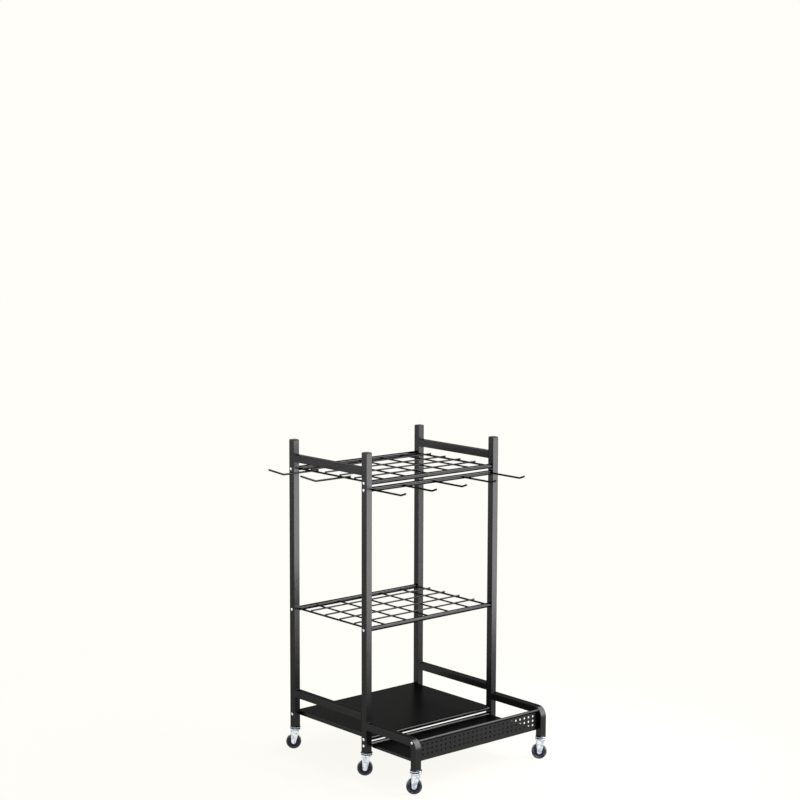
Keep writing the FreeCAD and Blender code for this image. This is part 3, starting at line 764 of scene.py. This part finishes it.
# %% Lines of the blank
COLUMNS, ROWS, PARTS = 26, 3, 6
PITCH_X, PITCH_Z, HOLE_RADIUS, TOP_STRIP = 18.4 * mm, 14.4 * mm, 3.5 * mm, 10 * mm
low, high = span("front_panel")
panel_y, panel_z = low[1] + HALF_SHEET, low[2] + HALF_SHEET
line, normal = folded([(high[1], panel_z), (panel_y, panel_z), (panel_y, high[2])])
first_x = (low[0] + high[0]) / 2 - PITCH_X * COLUMNS / 2
first_z = high[2] - TOP_STRIP - PITCH_Z * (ROWS - 0.5)
lines_x = first_x + PITCH_X / PARTS * np.arange(COLUMNS * PARTS + 1)
lines_x = np.concatenate([[low[0]], lines_x, [high[0]]])
lines_z = first_z + PITCH_Z / PARTS * np.arange(ROWS * PARTS + 1)
upright = np.stack([0 * lines_z + panel_y, lines_z], axis=-1)
rise = np.concatenate([line[:-1], upright, line[-1:]])
upright_normal = np.tile(normal[-1], (len(lines_z), 1))
rise_normal = np.concatenate([normal[:-1], upright_normal, normal[-1:]])
wide, tall, first_row = len(lines_x), len(rise), len(line) - 1
print("blank of", tall, "by", wide, "lines;", COLUMNS * ROWS, "holes")

# %% Cells with holes


def punch(plain):
    """Points of the circles, and quads: the plain ones outside the cells, and in each cell 24
    between its border and its circle."""
    plain = plain.reshape(tall - 1, wide - 1, 4)
    keep = np.ones((tall - 1, wide - 1), bool)
    keep[first_row:first_row + ROWS * PARTS, 1:1 + COLUMNS * PARTS] = False
    side = np.arange(PARTS)
    ring_i = np.concatenate([side * 0, side, side * 0 + PARTS, PARTS - side])
    ring_j = np.concatenate([side, side * 0 + PARTS, PARTS - side, side * 0])
    rows, columns = np.arange(ROWS) * PARTS + first_row, np.arange(COLUMNS) * PARTS + 1
    row, column = (index.reshape(-1, 1) for index in np.meshgrid(rows, columns, indexing="ij"))
    border = (row + ring_i) * wide + column + ring_j
    centre_x = lines_x[column] + PITCH_X / 2
    centre_z = rise[row, 1] + PITCH_Z / 2
    away_x = (ring_j - PARTS / 2) * PITCH_X / PARTS
    away_z = (ring_i - PARTS / 2) * PITCH_Z / PARTS
    away = np.hypot(away_x, away_z)
    hole_x = centre_x + HOLE_RADIUS * away_x / away
    hole_z = centre_z + HOLE_RADIUS * away_z / away
    circles = np.stack([hole_x, 0 * hole_x + panel_y, hole_z], axis=-1).reshape(-1, 3)
    inner = tall * wide + np.arange(border.size).reshape(border.shape)
    rings = np.stack([border, np.roll(border, -1, 1), np.roll(inner, -1, 1), inner], axis=-1)
    return circles, np.concatenate([plain[keep], rings.reshape(-1, 4)])


# %% Front panel
surface, normals, plain = spread(rise, rise_normal, lines_x, 0)
circles, quads = punch(plain)
surface = np.concatenate([surface, circles])
normals = np.concatenate([normals, np.tile(normals[-1], (len(circles), 1))])
used, renumbered = np.unique(quads, return_inverse=True)
shape = thick_sheet(surface[used], normals[used], renumbered.reshape(-1, 4))
put_piece("punched_front_panel", shape, "rack", ["front_panel"], powder_coat)

# %% [markdown]
# ## Post caps
# A cap is a thin plastic lid with a softly domed top. It is a stack of rounded
# squares: straight at the foot, then drawn in along a quarter ellipse, and last a
# shallow crown.

# %% Post caps
CAP_FOOT, CAP_TOP = 0.9955, span("post_caps")[1][2]
COLLAR, SHOULDER, EDGE_DROP = 1.2 * mm, 2.6 * mm, 0.3 * mm
CROWN_INSETS, CROWN_DROPS = np.array([6, 9, 11.4]) * mm, np.array([0.13, 0.03, 0]) * mm


def cap(x, y):
    """Rounded squares that shrink by one minus the cosine of the angle while they rise with
    its sine, and then close in over the crown."""
    turn = np.linspace(0, np.pi / 2, 7)[1:]
    rise = CAP_TOP - CAP_FOOT
    inset = np.concatenate([[0, 0], SHOULDER * (1 - np.cos(turn)), CROWN_INSETS])
    edge = COLLAR + (rise - COLLAR - EDGE_DROP) * np.sin(turn)
    height = np.concatenate([[0, COLLAR], edge, rise - CROWN_DROPS])
    corner = np.minimum(TUBE_CORNER + inset * 0.4, (HALF_TUBE - inset) * 0.9)
    rings = [rounded_square(width, curve) for width, curve in zip(TUBE - 2 * inset, corner)]
    grid = np.stack([np.insert(ring, 2, level, axis=1) for ring, level in zip(rings, height)])
    return closed_skin(grid + np.array([x, y, CAP_FOOT]))


lids = [cap(x, y) for x in (LEFT, RIGHT) for y in (FRONT, REAR)]
put_piece("domed_post_caps", together(*lids), "rack", ["post_caps"], cap_plastic)

# %% [markdown]
# ## Screws
# Each rail is held by a button-head screw with a hexagon socket at both ends. The head
# is a dome of revolution with a six-sided hole, so the inner rings of its grid follow a
# hexagon and the outer ones a circle.

# %% One screw head


def screw_head(centre, way, count=36):
    """Rings of points: socket floor, socket wall, rim, then a dome whose height falls with
    the square of the radius. The share says how far a ring is a hexagon."""
    turn = np.arange(count) * 2 * np.pi / count
    hexagon = math.cos(math.pi / 6) / np.cos((turn % (np.pi / 3)) - np.pi / 6)
    radius = np.array([0.02, 1.3, 1.45, 1.5, 1.75, 2.4, 3.1, 3.7, 4.15, 4.4, 4.5, 4.5]) * mm
    height = np.array([0.9, 0.9, 0.95, 2.25, 2.38, 2.3, 2.08, 1.72, 1.3, 0.9, 0.5, 0.0]) * mm
    share = np.array([1, 1, 1, 1, 0.6, 0.1, 0, 0, 0, 0, 0, 0])
    ring = radius[:, None] * (share[:, None] * hexagon + 1 - share[:, None])
    side = np.cross(way, Z)
    plane = ring[..., None] * (np.cos(turn)[:, None] * side + np.sin(turn)[:, None] * Z)
    return closed_skin(centre + plane + height[:, None, None] * way)


# %% Eighteen screws
heads = []
for node in RAILS:
    _, y, z = middle(node)
    heads.append(screw_head(np.array([LEFT - HALF_TUBE, y, z]), -X))
    heads.append(screw_head(np.array([RIGHT + HALF_TUBE, y, z]), X))
put_piece("button_head_screws", together(*heads), "rack", ["frame_screws"], zinc)
print(len(heads), "screw heads")

# %% [markdown]
# ## Casters
# A caster is mostly turned and pressed round parts, so a profile spun about a line makes its
# plate, kingpin, black ring of painted shade, cup, rivet and tyre. The profile lists radius and
# height in millimetres. A solid piece starts and ends so near to the axis that one small face
# closes each end; a ring's profile is closed in itself.

# %% Turned pieces
ON_AXIS = 0.01


def turned(profile, centre, axis, count, closed=False):
    """Each profile point goes round the axis: radius times cosine and sine across it, height
    along it."""
    profile = np.array(profile, float) * mm
    turn = np.arange(count) * 2 * np.pi / count
    side = X if abs(axis[2]) > 0.5 else Z
    other = np.cross(axis, side)
    round_axis = np.cos(turn)[:, None] * side + np.sin(turn)[:, None] * other
    grid = centre + profile[:, 0, None, None] * round_axis + profile[:, 1, None, None] * axis
    return ring_skin(grid) if closed else closed_skin(grid)


def soften(corners, radius, steps=4):
    """Profile with an arc of this radius at each inner corner."""
    return folded(corners, radius, steps)[0]


# %% Stems with plate, race and kingpin
PLATE_TOP, PIN_RADIUS, PIN_TOP = 72, 4, 96
SPOTS = {
    row + "_" + side: np.array([x, y, 0])
    for row, y in (("leg", LEGS), ("front", FRONT), ("rear", REAR))
    for side, x in (("left", LEFT), ("right", RIGHT))
}
plate = [(ON_AXIS, PLATE_TOP), (19, PLATE_TOP), (19, 70.2), (PIN_RADIUS, 70.2)]
plate += [(PIN_RADIUS, 64.2), (7, 64.2), (7, 62.9), (ON_AXIS, 62.7)]
plate = soften(plate, 0.5)
pin = [(ON_AXIS, PLATE_TOP), (PIN_RADIUS, PLATE_TOP), (PIN_RADIUS, PIN_TOP), (ON_AXIS, PIN_TOP)]
stems = [turned(plate, spot, Z, 48) for spot in SPOTS.values()]
stems += [turned(pin, spot, Z, 24) for spot in SPOTS.values()]
put_piece("turned_caster_stems", together(*stems), "rack", ["caster_stems"], zinc)

# %% [markdown]
# Between the plate and the fork run the balls, in shade. A black ring stands there as painted
# shade: a thin dark line that parts the two bright pieces, so it is a piece of its own.

# %% Black rings of painted shade
ring = soften([(4.4, 70), (16.6, 70), (17.2, 66.8), (4.4, 66.8)], 0.5)
rings = [turned(ring, spot, Z, 48, closed=True) for spot in SPOTS.values()]
# The black of these rings is painted shade in the gap between plate and fork.
put_piece("turned_painted_shade_rings", together(*rings), "rack", [], cap_plastic)

# %% [markdown]
# The fork is pressed from one sheet: a round cup that turns under the race, and two
# legs that taper from the cup to the axle. Each leg is a folded sheet whose width
# narrows on the way down and ends in a half circle, with a pressed rib along its
# middle that stiffens it.

# %% Directions of the caster
TRAIL, AXLE = -5 * mm, 24 * mm
TURN = math.radians(40)
ROLL = np.array([math.cos(TURN), -math.sin(TURN), 0])
AXLE_WAY = np.array([math.sin(TURN), math.cos(TURN), 0])
AXLE_SPOTS = {name: spot + AXLE * Z + TRAIL * ROLL for name, spot in SPOTS.items()}
print("axles lie", round(AXLE / mm), "mm high and", round(-TRAIL / mm), "mm behind the kingpins")

# %% One leg of the fork
FORK_SHEET, FORK_BEND = 2 * mm, 2.4 * mm
CUP_LEVEL, LEG_TOP, LEG_LOW = 65.5 * mm, 60 * mm, 28 * mm
LEG_START, LEG_OUT = 8 * mm, 11 * mm
LEG_SHOULDER, LEG_END = 15 * mm, 7 * mm
RIB_LOW, RIB_LOW_FADE, RIB_HIGH, RIB_HIGH_FADE = 34 * mm, 10 * mm, 63 * mm, 6 * mm
RIB_HEIGHT, RIB_HALF = 1.0 * mm, 3.6 * mm


def leg_edges(z):
    """Middle and half width between two slanted edges that close in round the axle; below it
    the width shrinks as a half circle."""
    share = np.clip((CUP_LEVEL - z) / (CUP_LEVEL - AXLE), 0, 1)
    left = (TRAIL - LEG_END) * share - LEG_SHOULDER * (1 - share)
    right = (TRAIL + LEG_END) * share + LEG_SHOULDER * (1 - share)
    below = np.clip(AXLE - z, 0, None)
    half_end = np.sqrt(np.clip(LEG_END ** 2 - below ** 2, 0, None)) / LEG_END
    return (left + right) / 2, (right - left) / 2 * half_end


def fork_leg(spot, way, columns=15):
    """Folded line from under the cup down past the axle; across it the leg runs from edge to
    edge, and a rib with a bell curve for its section lifts its middle."""
    turn = np.linspace(0, np.pi / 2, 9)
    down = np.concatenate([np.linspace(LEG_TOP, LEG_LOW, 12), AXLE - LEG_END * np.sin(turn)])
    bend = [(LEG_START, CUP_LEVEL), (LEG_OUT, CUP_LEVEL), (LEG_OUT, LEG_TOP)]
    line, normal = folded(bend, FORK_BEND)
    line = np.concatenate([line[:-1], np.stack([0 * down + LEG_OUT, down], axis=-1)])
    normal = np.concatenate([normal[:-1], np.tile(normal[-1], (len(down), 1))])
    x, z = line.T
    centre, half = leg_edges(z)
    along = centre[:, None] + half[:, None] * np.linspace(-1, 1, columns)
    fade_low = np.clip((z - RIB_LOW) / RIB_LOW_FADE, 0, 1)
    fade_high = np.clip((RIB_HIGH - z) / RIB_HIGH_FADE, 0, 1)
    section = np.exp(-((along - centre[:, None]) / RIB_HALF) ** 2)
    out = way * (x[:, None] + (RIB_HEIGHT * fade_low * fade_high)[:, None] * section)
    surface = spot + along[..., None] * ROLL + out[..., None] * AXLE_WAY
    surface += z[:, None, None] * Z
    normals = np.repeat(way * normal[:, :1] * AXLE_WAY + normal[:, 1:] * Z, columns, 0)
    quads = grid_faces(len(line), columns, False)
    return thick_sheet(surface.reshape(-1, 3), normals, quads, FORK_SHEET)


# %% Forks
cup = [(4.3, 66.5), (18, 66.5), (18, 61.8), (16.6, 61.8), (16.6, 64.5), (4.3, 64.5)]
cup = soften(cup, 1.2, 5)
for name, spot in SPOTS.items():
    node = "fork_" + name
    shell = turned(cup, spot, Z, 56, closed=True)
    shape = together(shell, fork_leg(spot, 1), fork_leg(spot, -1))
    put_piece("pressed_" + node, shape, node, [node], zinc)

# %% Axle rivets
rivet_half = [(ON_AXIS, 13.5), (3.2, 13.4), (4.6, 12.9), (5, 12), (3, 12)]
rivet = [(radius, -height) for radius, height in rivet_half] + rivet_half[::-1]
for name, centre in AXLE_SPOTS.items():
    shape = turned(rivet, centre, AXLE_WAY, 28)
    put_piece("rivet_" + name, shape, "fork_" + name, ["axle_" + name], zinc)

# %% [markdown]
# ## Wheels
# The wheel has a hard moulded core with a hub, a dished web with six ribs and a rim,
# and a softer tyre over it. The web is a surface of two parameters: its depth falls
# and rises with the radius, and is lifted again wherever a cosine of six times the
# angle peaks.

# %% Wheel core
RIB_FACE = 7.0


def core(centre, count=96):
    """Closed profile round the axle; between hub and rim its half width drops by a dish,
    except on six ribs, which stay at the half width of their face."""
    turn = np.arange(count) * 2 * np.pi / count
    radius = np.array([3.15, 6.6, 7.0, 7.3, 8.2, 9.5, 11, 12.6, 13.8, 14.6, 15.0, 16.6, 17.0])
    half = np.array([9.7, 9.7, 9.4, 8.0, 5.4, 4.6, 4.4, 4.6, 5.6, 7.2, 7.5, 7.5, 7.2])
    dish = np.array([0, 0, 0, 0, 1, 1, 1, 1, 1, 0, 0, 0, 0])
    lift = np.clip((np.cos(6 * turn) - 0.72) / 0.2, 0, 1)
    half = half[:, None] + dish[:, None] * lift * (RIB_FACE - half[:, None])
    radius = np.concatenate([radius, radius[::-1]])[:, None] * mm
    along = np.concatenate([half, -half[::-1]]) * mm
    rim_way = np.cos(turn)[:, None] * ROLL + np.sin(turn)[:, None] * Z
    return ring_skin(centre + radius[..., None] * rim_way + along[..., None] * AXLE_WAY)


# %% Cores and tyres
tread = soften([(17, -7), (19, -9), (24, -9), (24, 9), (19, 9), (17, 7)], 3.4, 8)
for name, centre in AXLE_SPOTS.items():
    body, node = "wheel_" + name, "wheel_core_" + name
    put_piece("moulded_core_" + name, core(centre), body, [node], core_plastic_painted_sheen)
    tyre = turned(tread, centre, AXLE_WAY, 72, closed=True)
    put_piece("moulded_tyre_" + name, tyre, body, ["tyre_" + name], tyre_rubber)

# %% [markdown]
# The plugs inside the tube ends stay as the CAD made them, because only their edges
# could ever show. They still get the plastic's finish.

# %% Plugs
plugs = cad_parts["caster_inserts"]
if not plugs.material_slots:
    plugs.data.materials.append(cap_plastic)
for slot in plugs.material_slots:
    slot.material = cap_plastic
print("plugs carry", plugs.material_slots[0].material.name)

# %% [markdown]
# ## Studio
# The photograph has a plain warm white ground. The floor and the world show that white
# only to the camera and to rays that a mirror or glass sends on, through the Light Path
# node, so the white itself sheds no diffuse light on the rack. A share of real diffuse
# floor near the rack keeps its soft shadow, and fades out with the distance.

# %% Rays that see the white
GROUND = (1.0, 0.991, 0.947, 1)


def shown_rays(tree):
    """1 for camera, glossy and transmission rays, and 0 for all others."""
    seen, gloss, through = (
        tree.node("ShaderNodeLightPath", output=f"Is {kind} Ray")
        for kind in ("Camera", "Glossy", "Transmission")
    )
    return tree.calculate("MAXIMUM", tree.calculate("MAXIMUM", seen, gloss), through)


# %% Floor
FLOOR_HALF = 30.0


def make_floor():
    """White glow for the shown rays, less 8 in 100 near the rack, over a matt floor."""
    finish = Finish("white_floor")
    finish.tree.nodes.remove(finish.shader)
    measure = {"operation": "LENGTH"}
    away = finish.node("ShaderNodeVectorMath", measure, {0: finish.place()}, "Value")
    near = 1 - away.between(0.45, 1.5)
    glow = shown_rays(finish) * (1 - near * 0.08)
    white = finish.node("ShaderNodeEmission", None, {"Color": GROUND, "Strength": 1.0})
    matt = finish.node("ShaderNodeBsdfDiffuse", None, {"Color": (0.9, 0.89, 0.86, 1)})
    both = finish.node("ShaderNodeMixShader", None, {0: glow, 1: matt, 2: white})
    finish.show(both, "Material Output")
    return finish.material


corners = [(x * FLOOR_HALF, y * FLOOR_HALF, 0) for x, y in ((-1, -1), (1, -1), (1, 1), (-1, 1))]
mesh = bpy.data.meshes.new("studio_floor")
mesh.from_pydata(corners, [], [(0, 1, 2, 3)])
mesh.materials.append(make_floor())
studio_floor = bpy.data.objects.new("studio_floor", mesh)
bpy.context.scene.collection.objects.link(studio_floor)
studio_floor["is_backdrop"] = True

# %% World
world = bpy.data.worlds.new("studio")
world.use_nodes = True
bpy.context.scene.world = world
sky = NodeTree(world.node_tree)
sky.tree.nodes.remove(sky.tree.nodes["Background"])
ambient = sky.node("ShaderNodeBackground", None, {"Color": (1, 1, 1, 1), "Strength": 0.35})
white = sky.node("ShaderNodeBackground", None, {"Color": GROUND, "Strength": 1.0})
both = sky.node("ShaderNodeMixShader", None, {0: shown_rays(sky), 1: ambient, 2: white})
sky.show(both, "World Output")

# %% [markdown]
# Black only shows its form by what it mirrors. A soft box stands low in front of the
# rack on the right, where the front faces mirror it towards the camera: they turn mid
# grey, and darken again near the floor, where the mirrored view runs out under the box.
# A long strip hangs above on the right and draws one bright line along every rail. A
# weak top light keeps the level surfaces readable, and three weak boxes do the same
# for the left side, the right side and the back.

# %% Soft boxes


def soft_box(name, place, target, width, height, power):
    """A rectangular lamp of this many watts that faces its target and isn't seen itself."""
    light = bpy.data.lights.new(name, "AREA")
    light.shape = "RECTANGLE"
    light.size = width
    light.size_y = height
    light.energy = power
    box = bpy.data.objects.new(name, light)
    bpy.context.scene.collection.objects.link(box)
    box.location = place
    way = (np.array(target) - np.array(place)).tolist()
    box.rotation_euler = Vector(way).to_track_quat("-Z", "Y").to_euler()
    box.visible_camera = False


soft_box("key_box", (0.81, -1.00, 0.63), (-0.07, 0.05, 0.63), 0.9, 1.02, 23)
soft_box("strip_box", (2.05, -0.9, 2.6), (0.05, -0.2, 0.5), 2.6, 0.8, 88)
soft_box("top_box", (-0.6, -0.8, 3.6), (0, 0, 0.4), 2.6, 2.6, 22)
soft_box("fill_box", (-3.6, 2.6, 0.9), (0, 0, 0.5), 2.2, 1.4, 28)
soft_box("right_box", (3.4, 1.0, 0.9), (0, 0, 0.5), 2.0, 1.2, 40)
soft_box("back_box", (0.2, 3.6, 0.9), (0, 0, 0.5), 2.0, 1.2, 40)
print("lights set")

# %% [markdown]
# ## Camera
# The photograph was taken from a little under 2 m up and nearly 6 m away, with a long
# lens. A shifted lens would keep its verticals exactly parallel, but would push the
# rack out of the middle of every other view. A plain camera that looks down by seven
# degrees comes within three pixels of the same picture, so it is used without shift.

# %% Camera
PICTURE_PIXELS, FOCAL_PIXELS, SENSOR = 800, 1885.43, 36.0
camera = bpy.data.cameras.new("photo_camera")
camera.sensor_width = SENSOR
camera.lens = FOCAL_PIXELS / PICTURE_PIXELS * SENSOR
camera.clip_end = 100
eye = bpy.data.objects.new("photo_camera", camera)
bpy.context.scene.collection.objects.link(eye)
eye.location = (-3.76889, -4.35831, 1.85147)
eye.rotation_euler = (1.44737, -0.00281, -0.71335)
bpy.context.scene.camera = eye
bpy.context.scene.view_settings.view_transform = "Standard"
print("lens", round(camera.lens, 2), "mm")

# %% [markdown]
# ## Size
# The box of the finished model, floor left out, is printed. The finished model may
# not outgrow the CAD model.

# %% Sizes
low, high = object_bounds()
print("model box", [round(value, 4) for value in (*low, *high)])
